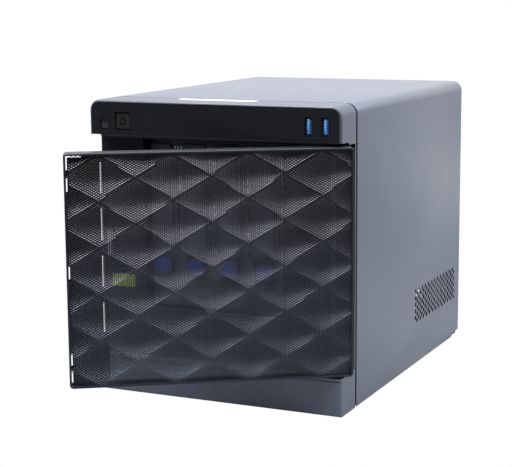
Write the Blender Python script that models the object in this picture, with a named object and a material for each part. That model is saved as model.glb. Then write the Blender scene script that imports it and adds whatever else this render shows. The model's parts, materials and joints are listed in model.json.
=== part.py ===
"""Four-bay network attached storage: chassis, swinging mesh door, drives in trays, rear fan.

Sizes are in millimetres and become metres in finish_mesh. Seen from the front, +X is to the
right, +Y runs to the back and +Z is up. Everything is laid out from the chassis: X = 0 on its
centre plane, Y = 0 on the front face of the bezel and Z = 0 on the floor. The empty
chassis_origin then moves it all so that the world origin lies on the floor under the middle of
the whole object. The door stands ajar at rest.
"""
import math

import bmesh
import bpy
from mathutils import Matrix, Vector

METRES = 0.001

# Driving dimensions
WIDTH = 206.5
DEPTH = 287.0
TOP = 230.0
FOOT_HEIGHT = 3.0
CORNER_RADIUS = 8.0
SHEET = 1.2
GAP = 0.3
HALF = WIDTH / 2

# Bezel: a top arm, a bottom arm and a recessed upright between them
BEZEL_BACK = 28.6
COVER_FRONT = 31.8
LIP_BACK = 33.0
TOP_CROWN = 0.3
FRONT_ROUND = 1.6
RECESS_LOW = 31.8
RECESS_HIGH = 203.4
RECESS_DEPTH = 16.3
UPRIGHT_THICKNESS = 5.7
RECESS_FILLET = 4.5
STRIP_GROOVE = 29.0

# Door, laid out closed and then turned about its hinge
DOOR_AJAR = math.radians(32.75)
HINGE_X = 96.3
HINGE_Y = 17.3
DOOR_HALF = 102.25
DOOR_LOW = 33.4
DOOR_HIGH = 200.9
DOOR_DEPTH = 13.0
DOOR_RIM = 1.6
DOOR_EDGE = 0.5
STILE_RIGHT = -78.0
HINGE_PIN_RADIUS = 2.0
HINGE_CLEARANCE = 0.1
HINGE_BORE_DEPTH = 8.0
HINGE_EAR_RADIUS = 4.4
HINGE_EAR_HEIGHT = 10.0

# Drive bay: four upright trays side by side
BAYS = 4
BAY_LEFT = -65.0
BAY_PITCH = 28.5
BAY_RIGHT = BAY_LEFT + BAYS * BAY_PITCH
TRAY_LOW = 69.0
TRAY_HIGH = 198.0
TRAY_FACE_FRONT = 27.5
TRAY_FACE_BACK = 33.0
TRAY_BACK = 184.0
DRIVE = (26.1, 147.0, 101.6)
DRIVE_FRONT = 36.0
DRIVE_LOW = 78.4
CAGE_FRONT = 34.6
LATCH_LOW = 91.0
LATCH_HIGH = 109.0

# Rear
REAR_FRONT = 284.6
REAR_BACK = REAR_FRONT + SHEET
FAN_X = -9.0
FAN_Z = 130.0
FAN_SIZE = 120.0
FAN_FRONT = 258.9
FAN_BACK = 283.9
FAN_BORE = 58.0
BOARD_LOW = 10.5
BOARD_HIGH = 12.1

# The whole object at rest, door ajar, from the chassis corner to the door's corners
SWING_COS = math.cos(DOOR_AJAR)
SWING_SIN = math.sin(DOOR_AJAR)
SCREW_BACK = 291.0
RIGHT_MOST = HINGE_X + (DOOR_HALF - HINGE_X) * SWING_COS + (HINGE_Y - DOOR_EDGE) * SWING_SIN
FRONT_MOST = HINGE_Y - (DOOR_HALF - DOOR_EDGE + HINGE_X) * SWING_SIN - HINGE_Y * SWING_COS
ORIGIN = Vector(((RIGHT_MOST - HALF) / 2, (FRONT_MOST + SCREW_BACK) / 2, 0.0))

FINISHES = {
    # name: base colour, roughness, metallic
    "cover_paint": ((0.24, 0.26, 0.31), 0.45, 0.3),
    "bezel_plastic": ((0.10, 0.11, 0.13), 0.4, 0.0),
    "panel_gloss": ((0.012, 0.012, 0.015), 0.12, 0.0),
    "light_pipe": ((0.85, 0.9, 0.95), 0.2, 0.0),
    "button_plastic": ((0.03, 0.03, 0.035), 0.35, 0.0),
    "steel": ((0.55, 0.56, 0.58), 0.35, 1.0),
    "black_steel": ((0.03, 0.03, 0.035), 0.45, 0.4),
    "usb_blue": ((0.03, 0.2, 0.65), 0.35, 0.0),
    "circuit_board": ((0.02, 0.09, 0.05), 0.5, 0.0),
    "tray_plastic": ((0.05, 0.055, 0.065), 0.45, 0.0),
    "latch_blue": ((0.04, 0.08, 0.5), 0.35, 0.0),
    "drive_metal": ((0.6, 0.61, 0.62), 0.35, 1.0),
    "black_plastic": ((0.015, 0.015, 0.017), 0.5, 0.0),
    "aluminium": ((0.75, 0.76, 0.78), 0.3, 1.0),
    "rubber": ((0.02, 0.02, 0.02), 0.8, 0.0),
    "filter_mesh": ((0.02, 0.02, 0.022), 0.9, 0.0),
}


# ---- groups: an empty for the chassis and one for each thing that moves

def clear_scene():
    for old in list(bpy.data.objects):
        bpy.data.objects.remove(old, do_unlink=True)


def make_group(name, pivot, parent=None, turn=0.0):
    """An empty at pivot, in chassis millimetres, that carries the pieces of one rigid body."""
    empty = bpy.data.objects.new(name, None)
    bpy.context.scene.collection.objects.link(empty)
    pivot = Vector(pivot)
    if parent:
        empty.parent = parent["empty"]
        empty.location = (pivot - parent["pivot"]) * METRES
    else:
        empty.location = (pivot - ORIGIN) * METRES
    empty.rotation_euler.z = turn
    return {"empty": empty, "pivot": pivot}


def finish_material(name):
    material = bpy.data.materials.get(name)
    if material:
        return material
    colour, roughness, metallic = FINISHES[name]
    material = bpy.data.materials.new(name)
    material.use_nodes = True
    shader = material.node_tree.nodes["Principled BSDF"]
    shader.inputs["Base Color"].default_value = (*colour, 1.0)
    shader.inputs["Roughness"].default_value = roughness
    shader.inputs["Metallic"].default_value = metallic
    return material


def finish_mesh(name, shape, group, finish=None):
    """Turn a bmesh in chassis millimetres into an object that rides on a group."""
    bmesh.ops.recalc_face_normals(shape, faces=shape.faces)
    bmesh.ops.translate(shape, vec=-group["pivot"], verts=shape.verts)
    bmesh.ops.scale(shape, vec=(METRES,) * 3, verts=shape.verts)
    mesh = bpy.data.meshes.new(name)
    shape.to_mesh(mesh)
    shape.free()
    piece = bpy.data.objects.new(name, mesh)
    bpy.context.scene.collection.objects.link(piece)
    piece.parent = group["empty"]
    if finish:
        mesh.materials.append(finish_material(finish))
        mesh.shade_smooth()
        mesh.set_sharp_from_angle(angle=math.radians(35))
    else:
        piece.hide_render = True
        piece.display_type = "WIRE"
    return piece


# ---- shapes

def prism(outline, axis, low, high):
    """Extrude a closed outline along an axis. The outline's points are in the other two axes."""
    shape = bmesh.new()
    order = {"x": (2, 0, 1), "y": (0, 2, 1), "z": (0, 1, 2)}[axis]
    corners = []
    for u, v in outline:
        point = (u, v, low)
        corners.append(shape.verts.new([point[i] for i in order]))
    face = shape.faces.new(corners)
    along = Vector([(0, 0, high - low)[i] for i in order])
    grown = bmesh.ops.extrude_face_region(shape, geom=[face])
    moved = [item for item in grown["geom"] if isinstance(item, bmesh.types.BMVert)]
    bmesh.ops.translate(shape, vec=along, verts=moved)
    return shape


def block(x, y, z):
    """A box from its low and high X, Y and Z."""
    return prism([(x[0], z[0]), (x[1], z[0]), (x[1], z[1]), (x[0], z[1])], "y", *y)


def arc(centre, radius, start, end, steps):
    """Points on an arc, in degrees."""
    points = []
    for step in range(steps + 1):
        angle = math.radians(start + (end - start) * step / steps)
        points.append((centre[0] + radius * math.cos(angle), centre[1] + radius * math.sin(angle)))
    return points


def circle(centre, radius, steps=24):
    return arc(centre, radius, 0, 360, steps)[:-1]


def arch(half, low, high, radius, steps=6):
    """An upright outline with a flat bottom and rounded top corners."""
    right = arc((half - radius, high - radius), radius, 0, 90, steps)
    left = arc((radius - half, high - radius), radius, 90, 180, steps)
    return [(-half, low), (half, low)] + right + left


def rounded(low, high, radius, steps=3):
    """A rectangle with round corners, from its low and high corner."""
    (x0, z0), (x1, z1) = low, high
    points = arc((x1 - radius, z0 + radius), radius, -90, 0, steps)
    points += arc((x1 - radius, z1 - radius), radius, 0, 90, steps)
    points += arc((x0 + radius, z1 - radius), radius, 90, 180, steps)
    points += arc((x0 + radius, z0 + radius), radius, 180, 270, steps)
    return points


def merge_shapes(shapes):
    """Put separate bmeshes into one, for a tool with several bodies."""
    whole = bmesh.new()
    for shape in shapes:
        holder = bpy.data.meshes.new("holder")
        shape.to_mesh(holder)
        shape.free()
        whole.from_mesh(holder)
        bpy.data.meshes.remove(holder)
    return whole


def boolean(piece, shape, group, operation):
    tool = finish_mesh(piece.name + "_tool", shape, group)
    step = piece.modifiers.new(operation.lower(), "BOOLEAN")
    step.operation = operation
    step.solver = "EXACT"
    step.object = tool


def cut(piece, shape, group):
    boolean(piece, shape, group, "DIFFERENCE")


def join(piece, shape, group):
    boolean(piece, shape, group, "UNION")


# ---- chassis

def build_outer_cover(chassis):
    """Sides and top in one bent sheet, with the raised step at the bottom rear corners."""
    outside = arch(HALF, FOOT_HEIGHT, TOP, CORNER_RADIUS)
    inside = arch(HALF - SHEET, FOOT_HEIGHT, TOP - SHEET, CORNER_RADIUS - SHEET)
    outline = outside[1:] + [outside[0]] + [inside[0]] + inside[:1:-1] + [inside[1]]
    cover = finish_mesh("outer_cover", prism(outline, "y", COVER_FRONT, DEPTH), chassis, "cover_paint")
    step = [(266.0, 0.0), (269.5, 6.0), (DEPTH + 5, 6.0), (DEPTH + 5, 0.0)]
    cut(cover, prism(step, "x", -HALF - 5, HALF + 5), chassis)


def build_base_pan(chassis):
    half = HALF - SHEET - GAP - 0.05
    low = FOOT_HEIGHT + GAP
    floor = low + SHEET
    outline = [(-half, low), (half, low), (half, low + 12), (half - SHEET, low + 12),
               (half - SHEET, floor), (SHEET - half, floor), (SHEET - half, low + 12), (-half, low + 12)]
    pan = finish_mesh("base_pan", prism(outline, "y", CAGE_FRONT, REAR_FRONT - 0.6), chassis, "black_steel")
    bosses = []
    for x in (-68.0, 82.0):
        for y in (122.0, 272.0):
            bosses.append(prism(circle((x, y), 4, 12), "z", low + 0.6, BOARD_LOW - GAP))
    join(pan, merge_shapes(bosses), chassis)


def build_front_plate(chassis):
    """The steel plate behind the bezel, open where the trays pass."""
    outline = arch(HALF - SHEET - 0.35, 4.9, TOP - SHEET - 0.5, 6.5)
    plate = finish_mesh("front_plate", prism(outline, "y", LIP_BACK + GAP, CAGE_FRONT - GAP),
                        chassis, "black_steel")
    cut(plate, block((BAY_LEFT - 0.4, BAY_RIGHT + 0.4), (20, 50), (TRAY_LOW - 0.6, TRAY_HIGH + 0.6)), chassis)


def build_rear_panel(chassis):
    outline = arch(HALF - SHEET - 0.35, 4.9, TOP - SHEET - 0.5, 6.5)
    panel = finish_mesh("rear_panel", prism(outline, "y", REAR_FRONT, REAR_BACK), chassis, "black_steel")
    through = (REAR_FRONT - 5, REAR_BACK + 5)
    openings = [
        prism(circle((FAN_X, FAN_Z), 57, 32), "y", *through),
        block((-71.4, 86.2), through, (11.4, 54.6)),
        block((57.0, 94.2), through, (147.0, 224.8)),
        block((-97.0, -83.0), through, (12.0, 82.0)),
    ]
    for opening in openings:
        cut(panel, opening, chassis)


def crown(y):
    """How far the top of the bezel falls below the cover at a depth y behind the front."""
    return TOP_CROWN * (1 - y / BEZEL_BACK) ** 2


def build_front_bezel(chassis):
    """One moulding: the arms reach forward of the upright, and the door closes between them."""
    shape = prism(arch(HALF, FOOT_HEIGHT, TOP, CORNER_RADIUS), "y", 0, BEZEL_BACK)
    for y in (8.0, 18.0):
        everything = shape.verts[:] + shape.edges[:] + shape.faces[:]
        bmesh.ops.bisect_plane(shape, geom=everything, plane_co=(0, y, 0), plane_no=(0, 1, 0))
    for corner in shape.verts:
        if corner.co.z > TOP - CORNER_RADIUS - 1:
            corner.co.z -= crown(corner.co.y)
    rim = [edge for edge in shape.edges if all(end.co.y < 1 for end in edge.verts)]
    bmesh.ops.bevel(shape, geom=rim, offset=FRONT_ROUND, segments=4, profile=0.5, affect="EDGES")
    bezel = finish_mesh("front_bezel", shape, chassis, "bezel_plastic")
    lip = arch(HALF - 1.7, FOOT_HEIGHT + 1.7, TOP - 1.7, CORNER_RADIUS - 1.7)
    join(bezel, prism(lip, "y", 20, LIP_BACK), chassis)

    recess = [(-5.0, RECESS_LOW)]
    recess += arc((RECESS_DEPTH - RECESS_FILLET, RECESS_LOW + RECESS_FILLET), RECESS_FILLET, -90, 0, 4)
    recess += arc((RECESS_DEPTH - RECESS_FILLET, RECESS_HIGH - RECESS_FILLET), RECESS_FILLET, 0, 90, 4)
    recess += [(-5.0, RECESS_HIGH)]
    cut(bezel, prism(recess, "x", -HALF - 5, HALF + 5), chassis)
    cut(bezel, block((88.6, HALF + 5), (8, 26.7), (DOOR_LOW - 0.5, DOOR_HIGH + 0.5)), chassis)

    behind = RECESS_DEPTH + UPRIGHT_THICKNESS
    cut(bezel, block((-99.3, 99.3), (2.8, 50), (206.4, 223.0)), chassis)
    cut(bezel, block((-99.3, 99.3), (3.0, 50), (6.5, 28.6)), chassis)
    cut(bezel, block((-98.8, 85.5), (behind, 50), (20.0, 215.0)), chassis)
    cut(bezel, block((BAY_LEFT - 1.5, BAY_RIGHT + 1.5), (10, 40), (TRAY_LOW - 1.4, TRAY_HIGH + 1.4)), chassis)

    inset = FRONT_ROUND
    panel = arch(HALF - inset, RECESS_HIGH + 0.5, TOP - TOP_CROWN - inset, CORNER_RADIUS - inset)
    cut(bezel, prism(panel, "y", -5, 1.5), chassis)
    cut(bezel, block((-HALF - 5, HALF + 5), (-5, 0.9), (STRIP_GROOVE, STRIP_GROOVE + 0.8)), chassis)
    cut(bezel, prism(LIGHT_BAR_OUTLINE, "z", TOP - 3.0, TOP + 5), chassis)
    for hole in front_holes(0.35):
        cut(bezel, hole, chassis)
    for low, high in ((20.0, DOOR_LOW), (DOOR_HIGH, 215.0)):
        cut(bezel, prism(circle((HINGE_X, HINGE_Y), HINGE_PIN_RADIUS + HINGE_CLEARANCE), "z", low, high), chassis)


LIGHT_BAR_OUTLINE = [(-37.0, 18.5), (25.0, 18.5), (27.0, 27.8), (-39.0, 27.8)]
POWER_BUTTON = {"x": -74.65, "z": 214.2, "half": 5.9}
RESET_BUTTON = {"x": -90.55, "z": 211.1, "half": 3.0}
USB_PORTS = [(77.9, 214.8), (90.9, 214.8)]
USB_HALF = (2.85, 6.6)


def front_holes(margin):
    """Cutters for the two buttons and the two upright USB ports."""
    holes = []
    for button in (POWER_BUTTON, RESET_BUTTON):
        half = button["half"] + margin
        low = (button["x"] - half, button["z"] - half)
        high = (button["x"] + half, button["z"] + half)
        holes.append(prism(rounded(low, high, 0.7, 2), "y", -5, 10))
    for x, z in USB_PORTS:
        low = (x - USB_HALF[0] - margin, z - USB_HALF[1] - margin)
        high = (x + USB_HALF[0] + margin, z + USB_HALF[1] + margin)
        holes.append(prism(rounded(low, high, 0.5, 1), "y", -5, 10))
    return holes


def build_control_panel(chassis):
    inset = FRONT_ROUND + GAP
    outline = arch(HALF - inset, RECESS_HIGH + 0.8, TOP - TOP_CROWN - inset, CORNER_RADIUS - inset)
    panel = finish_mesh("control_panel", prism(outline, "y", 0, 1.2), chassis, "panel_gloss")
    for hole in front_holes(0.35):
        cut(panel, hole, chassis)


def build_light_bar(chassis):
    shape = prism([(x * 0.99, y + (0.3 if y < 20 else -0.3)) for x, y in LIGHT_BAR_OUTLINE], "z",
                  TOP - 2.7, TOP)
    for corner in shape.verts:
        if corner.co.z > TOP - 1:
            corner.co.z -= crown(corner.co.y) + 0.05
    finish_mesh("light_bar", shape, chassis, "light_pipe")


def build_button(name, button, group):
    half = button["half"]
    low = (button["x"] - half, button["z"] - half)
    high = (button["x"] + half, button["z"] + half)
    cap = finish_mesh(name, prism(rounded(low, high, 0.5, 2), "y", 0.7, 5.5), group, "button_plastic")
    join(cap, prism(circle((button["x"], button["z"]), half * 0.4, 12), "y", 4.5, 12.5), group)


def build_usb_ports(chassis):
    for number, (x, z) in enumerate(USB_PORTS, start=1):
        half_x, half_z = USB_HALF
        shell = finish_mesh(f"usb_port_{number}",
                            block((x - half_x, x + half_x), (0.8, 14.8), (z - half_z, z + half_z)),
                            chassis, "steel")
        cut(shell, block((x - half_x + 0.45, x + half_x - 0.45), (-2, 13.8),
                         (z - half_z + 0.45, z + half_z - 0.45)), chassis)
        finish_mesh(f"usb_tongue_{number}", block((x - 1.7, x + 0.15), (2.2, 13.5), (z - 5.6, z + 5.6)),
                    chassis, "usb_blue")


def build_front_board(chassis):
    finish_mesh("front_io_board", block((-97.5, 97.5), (15.2, 16.8), (207.2, 222.4)), chassis,
                "circuit_board")


# ---- door

def build_door(door):
    """A shallow moulded ring with its hinge ears, the mesh, the dust filter and a magnet."""
    outline = rounded((-DOOR_HALF, DOOR_LOW), (DOOR_HALF, DOOR_HIGH), 2.5, 3)
    shape = prism(outline, "y", 0, DOOR_DEPTH)
    rim = [edge for edge in shape.edges if all(end.co.y < 1 for end in edge.verts)]
    bmesh.ops.bevel(shape, geom=rim, offset=DOOR_EDGE, segments=1, affect="EDGES")
    frame = finish_mesh("door_frame", shape, door, "bezel_plastic")
    inner = (DOOR_HALF - DOOR_RIM, DOOR_LOW + DOOR_RIM, DOOR_HIGH - DOOR_RIM)
    cut(frame, block((-inner[0], inner[0]), (-5, 20), (inner[1], inner[2])), door)
    ears = []
    bores = []
    for low in (DOOR_LOW, DOOR_HIGH - HINGE_EAR_HEIGHT):
        ear = arc((HINGE_X, HINGE_Y), HINGE_EAR_RADIUS, 0, 180, 8)
        ear += [(HINGE_X - HINGE_EAR_RADIUS, 5.0), (HINGE_X + HINGE_EAR_RADIUS + 0.6, 5.0)]
        ears.append(prism(ear, "z", low, low + HINGE_EAR_HEIGHT))
    join(frame, merge_shapes(ears), door)
    for low, high in ((DOOR_LOW - 5, DOOR_LOW + HINGE_BORE_DEPTH), (DOOR_HIGH - HINGE_BORE_DEPTH, DOOR_HIGH + 5)):
        bores.append(prism(circle((HINGE_X, HINGE_Y), HINGE_PIN_RADIUS + HINGE_CLEARANCE), "z", low, high))
    cut(frame, merge_shapes(bores), door)

    def sheet(name, depth, margin, finish):
        """A flat sheet inside the ring; its corner at the hinge side keeps clear of the ears."""
        low, high = inner[1] + margin, inner[2] - margin
        right = inner[0] - margin
        finish_mesh(name, block((-right, right), depth, (low, high)), door, finish)

    sheet("door_mesh", (0.9, 4.2), GAP, "black_steel")
    ear_side = HINGE_X - HINGE_EAR_RADIUS - 0.6
    low, high = inner[1] + 1.2, inner[2] - 1.2
    finish_mesh("door_stile", block((1.2 - inner[0], STILE_RIGHT), (6.0, 7.4), (low, high)), door, "bezel_plastic")
    finish_mesh("door_filter", block((STILE_RIGHT + 1.4, ear_side), (6.0, 6.6), (low, high)), door, "filter_mesh")
    finish_mesh("door_magnet", block((-98.5, -94.5), (7.7, 12.6), (105.0, 129.0)), door, "steel")


def build_hinge_pins(chassis):
    for name, low in (("hinge_pin_bottom", 28.9), ("hinge_pin_top", DOOR_HIGH - 7.0)):
        finish_mesh(name, prism(circle((HINGE_X, HINGE_Y), HINGE_PIN_RADIUS), "z", low, low + 12),
                    chassis, "steel")


def build_door_catch(chassis):
    finish_mesh("door_catch", block((-98.5, -94.5), (13.6, RECESS_DEPTH - GAP), (107.0, 127.0)), chassis, "steel")


# ---- drive bay

def build_drive_cage(chassis):
    inner = ((BAY_LEFT - 0.2, BAY_RIGHT + 0.2), (72.5, 190.5))
    cage = finish_mesh("drive_cage", block((inner[0][0] - 1, inner[0][1] + 1), (CAGE_FRONT, TRAY_BACK),
                                           (inner[1][0] - 1, inner[1][1] + 1)), chassis, "black_steel")
    cut(cage, block(inner[0], (0, 250), inner[1]), chassis)
    for number in range(1, BAYS):
        x = BAY_LEFT + number * BAY_PITCH
        finish_mesh(f"bay_divider_{number}", block((x - 0.4, x + 0.4), (CAGE_FRONT, TRAY_BACK),
                                                   (inner[1][0] + GAP, inner[1][1] - GAP)),
                    chassis, "black_steel")


def build_tray(number, tray, latch):
    """The tray: a face with a raised grip and a latch pocket, and a rail above and below the drive."""
    left = BAY_LEFT + (number - 1) * BAY_PITCH + GAP
    right = left + BAY_PITCH - 2 * GAP
    face = finish_mesh(f"drive_tray_{number}", block((left, right), (TRAY_FACE_FRONT, TRAY_FACE_BACK),
                                                     (TRAY_LOW, TRAY_HIGH)), tray, "tray_plastic")
    grip = prism(rounded((left + 0.2, LATCH_HIGH + 2), (left + 17.7, TRAY_HIGH - 3), 1.5, 2), "y",
                 TRAY_FACE_FRONT - 2.5, TRAY_FACE_FRONT + 1)
    join(face, grip, tray)
    rails = []
    for low in (DRIVE_LOW - 3.4, DRIVE_LOW + DRIVE[2] + GAP):
        rails.append(block((left + 1.2, right - 1.2), (TRAY_FACE_BACK - 1, TRAY_BACK), (low, low + 3.1)))
    join(face, merge_shapes(rails), tray)
    cut(face, block((left + 1.2, left + 18.0), (10, 50), (LATCH_LOW - 0.4, LATCH_HIGH + 0.4)), tray)
    slots = []
    for slot in range(12):
        low = 112 + slot * 6.8
        slots.append(block((left + 20.0, right - 1.6), (10, 50), (low, low + 4.2)))
    cut(face, merge_shapes(slots), tray)
    finish_mesh(f"tray_latch_{number}", prism(rounded((left + 1.6, LATCH_LOW), (left + 17.6, LATCH_HIGH), 1.2, 2),
                                              "y", 24.6, 31.0), latch, "latch_blue")
    middle = (left + right) / 2
    shape = block((middle - DRIVE[0] / 2, middle + DRIVE[0] / 2), (DRIVE_FRONT, DRIVE_FRONT + DRIVE[1]),
                  (DRIVE_LOW, DRIVE_LOW + DRIVE[2]))
    upright = [edge for edge in shape.edges if abs(edge.verts[0].co.x - edge.verts[1].co.x) > 1]
    bmesh.ops.bevel(shape, geom=upright, offset=2.0, segments=1, affect="EDGES")
    finish_mesh(f"hard_drive_{number}", shape, tray, "drive_metal")


def build_backplane(chassis):
    board = finish_mesh("backplane", block((BAY_LEFT, BAY_RIGHT), (187.4, 189.0), (74.0, 189.0)), chassis,
                        "circuit_board")
    sockets = []
    for number in range(BAYS):
        x = BAY_LEFT + number * BAY_PITCH + 9.0
        sockets.append(block((x, x + 9), (184.3, 187.8), (84.0, 122.0)))
    join(board, merge_shapes(sockets), chassis)


# ---- computer

def build_motherboard(chassis):
    finish_mesh("motherboard", block((-78.0, 92.0), (112.0, 282.0), (BOARD_LOW, BOARD_HIGH)), chassis,
                "circuit_board")
    finish_mesh("memory_module", block((-76.0, -72.4), (130.0, 263.0), (BOARD_HIGH + GAP, 43.0)), chassis,
                "circuit_board")


def build_cooler(chassis):
    """A comb of upright fins on a plate, in one outline."""
    fins = 14
    pitch = 6.0
    left = -30.0
    base = BOARD_HIGH + GAP + 3.0
    outline = [(left, BOARD_HIGH + GAP)]
    outline.append((left + (fins - 1) * pitch + 1.4, BOARD_HIGH + GAP))
    for fin in reversed(range(fins)):
        x = left + fin * pitch
        outline += [(x + 1.4, 48.0), (x, 48.0)]
        if fin:
            outline += [(x, base + 4), (x - pitch + 1.4, base + 4)]
    finish_mesh("cpu_cooler", prism(outline, "y", 150.0, 236.0), chassis, "aluminium")


ETHERNET = [30.0, 50.0]
USB_STACK = 4.0
DISPLAY = -26.0
PORT_LOW = BOARD_HIGH + GAP


def build_rear_ports(chassis):
    shield = finish_mesh("io_shield", block((-72.6, 87.4), (283.2, 284.2), (10.3, 55.7)), chassis, "steel")
    cut(shield, block((-80.0, 88.0), (280.0, 283.9), (5.0, PORT_LOW)), chassis)
    for number, x in enumerate(ETHERNET, start=1):
        port = finish_mesh(f"ethernet_port_{number}", block((x - 7.9, x + 7.9), (264.0, 286.4), (PORT_LOW, 25.9)),
                           chassis, "steel")
        cut(port, block((x - 5.9, x + 5.9), (272.0, 295.0), (14.2, 22.9)), chassis)
        cut(shield, block((x - 8.2, x + 8.2), (280.0, 290.0), (5.0, 26.2)), chassis)
    stack = finish_mesh("rear_usb_ports", block((USB_STACK - 7.2, USB_STACK + 7.2), (266.0, 286.4),
                                                (PORT_LOW, 28.4)), chassis, "steel")
    for low in (13.4, 21.4):
        cut(stack, block((USB_STACK - 6.3, USB_STACK + 6.3), (272.0, 295.0), (low, low + 5.4)), chassis)
        join(stack, block((USB_STACK - 5.6, USB_STACK + 5.6), (271.0, 284.8), (low + 3.0, low + 4.8)), chassis)
    cut(shield, block((USB_STACK - 7.5, USB_STACK + 7.5), (280.0, 290.0), (5.0, 28.7)), chassis)
    display = finish_mesh("display_port", block((DISPLAY - 8.0, DISPLAY + 8.0), (270.0, 286.4), (PORT_LOW, 19.0)),
                          chassis, "steel")
    cut(display, block((DISPLAY - 7.1, DISPLAY + 7.1), (274.0, 295.0), (13.3, 18.2)), chassis)
    join(display, block((DISPLAY - 5.8, DISPLAY + 5.8), (273.0, 284.8), (15.2, 16.3)), chassis)
    cut(shield, block((DISPLAY - 8.3, DISPLAY + 8.3), (280.0, 290.0), (5.0, 19.3)), chassis)


def build_power_supply(chassis):
    supply = finish_mesh("power_supply", block((55.3, 95.8), (134.5, 284.1), (145.0, 226.5)), chassis, "steel")
    cut(supply, block((62.0, 90.0), (264.0, 300.0), (150.0, 172.0)), chassis)
    cut(supply, prism(circle((75.6, 200.0), 18.0, 24), "y", 270.0, 300.0), chassis)
    join(supply, prism(circle((75.6, 200.0), 6.5, 12), "y", 268.0, 282.0), chassis)
    inlet = finish_mesh("mains_inlet", block((62.4, 89.6), (264.4, 286.8), (150.4, 171.6)), chassis,
                        "black_plastic")
    cut(inlet, block((64.4, 87.6), (270.0, 295.0), (152.8, 169.2)), chassis)
    pins = []
    for x, z in ((69.0, 160.0), (76.0, 163.0), (83.0, 160.0)):
        pins.append(block((x - 1, x + 1), (268.0, 284.0), (z - 2, z + 2)))
    join(inlet, merge_shapes(pins), chassis)


def build_fan(chassis, rotor_group):
    """A 120 mm fan on the rear panel, with its finger guard outside."""
    half = FAN_SIZE / 2
    frame = finish_mesh("fan_frame", prism(rounded((FAN_X - half, FAN_Z - half), (FAN_X + half, FAN_Z + half),
                                                   6.0, 3), "y", FAN_FRONT, FAN_BACK), chassis, "black_plastic")
    cut(frame, prism(circle((FAN_X, FAN_Z), FAN_BORE, 32), "y", FAN_FRONT - 5, FAN_BACK + 5), chassis)
    bars = [block((FAN_X - 59, FAN_X + 59), (280.6, 283.7), (FAN_Z - 2, FAN_Z + 2)),
            block((FAN_X - 2, FAN_X + 2), (280.6, 283.7), (FAN_Z - 59, FAN_Z + 59)),
            prism(circle((FAN_X, FAN_Z), 20, 24), "y", 280.4, 283.6)]
    for bar in bars:
        join(frame, bar, chassis)

    rotor = finish_mesh("fan_rotor", prism(circle((FAN_X, FAN_Z), 19.5, 24), "y", 259.6, 279.6), rotor_group,
                        "black_plastic")
    blades = []
    count = 7
    for number in range(count):
        blades.append(fan_blade(2 * math.pi * number / count))
    join(rotor, merge_shapes(blades), rotor_group)

    guard = finish_mesh("fan_grille", ring_shape(55.0, 57.5), chassis, "steel")
    for inner in (12.0, 26.0, 40.5):
        join(guard, ring_shape(inner, inner + 1.8), chassis)
    bars = []
    for turn in (45, 135):
        bar = block((-56.5, 56.5), (286.4, 288.0), (-1.0, 1.0))
        bmesh.ops.rotate(bar, cent=(0, 0, 0), matrix=Matrix.Rotation(math.radians(turn), 3, "Y"), verts=bar.verts)
        bmesh.ops.translate(bar, vec=(FAN_X, 0, FAN_Z), verts=bar.verts)
        bars.append(bar)
    for bar in bars:
        join(guard, bar, chassis)


def ring_shape(inner, outer, steps=32):
    """A flat ring of the finger guard."""
    shape = bmesh.new()
    rows = []
    for radius, y in ((inner, 286.2), (outer, 286.2), (outer, 288.2), (inner, 288.2)):
        rows.append([shape.verts.new((x, y, z)) for x, z in circle((FAN_X, FAN_Z), radius, steps)])
    for row in range(4):
        for step in range(steps):
            following = (step + 1) % steps
            shape.faces.new((rows[row][step], rows[row][following],
                             rows[(row + 1) % 4][following], rows[(row + 1) % 4][step]))
    return shape


def fan_blade(turn):
    """One twisted blade, root inside the hub."""
    shape = bmesh.new()
    thickness = 1.4
    sections = []
    for radius, pitch, sweep in ((17.0, 52, 0), (30.0, 42, 6), (43.0, 33, 13), (55.5, 27, 22)):
        chord = 20.0 / math.cos(math.radians(pitch)) * 0.62 + radius * 0.12
        row = []
        for side in (-1, 1):
            for face in (-1, 1):
                across = side * chord / 2
                lean = math.radians(pitch)
                y = 269.6 + across * math.sin(lean) + face * thickness / 2 * math.cos(lean)
                arc_length = across * math.cos(lean) - face * thickness / 2 * math.sin(lean)
                angle = turn + math.radians(sweep) + arc_length / radius
                row.append(shape.verts.new((FAN_X + radius * math.cos(angle), y, FAN_Z + radius * math.sin(angle))))
        sections.append([row[0], row[1], row[3], row[2]])
    for inner, outer in zip(sections, sections[1:]):
        for i in range(4):
            shape.faces.new((inner[i], inner[(i + 1) % 4], outer[(i + 1) % 4], outer[i]))
    shape.faces.new(sections[0])
    shape.faces.new(reversed(sections[-1]))
    return shape


def build_rear_fittings(chassis):
    finish_mesh("slot_cover", block((-99.2, -80.8), (283.2, 284.2), (8.0, 87.0)), chassis, "steel")
    for number, (x, z) in enumerate(((-97.0, 206.0), (-97.0, 112.0), (98.2, 128.0)), start=1):
        screw = finish_mesh(f"cover_screw_{number}", prism(circle((x, z), 3.6, 16), "y", REAR_BACK + GAP, SCREW_BACK),
                            chassis, "steel")
        cut(screw, block((x - 5, x + 5), (SCREW_BACK - 1.2, SCREW_BACK + 5), (z - 0.5, z + 0.5)), chassis)


def build_feet(chassis):
    number = 0
    for x in (-78.0, 78.0):
        for y in (52.0, 242.0):
            number += 1
            finish_mesh(f"foot_{number}", prism(circle((x, y), 8, 20), "z", 0, FOOT_HEIGHT), chassis, "rubber")


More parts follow.
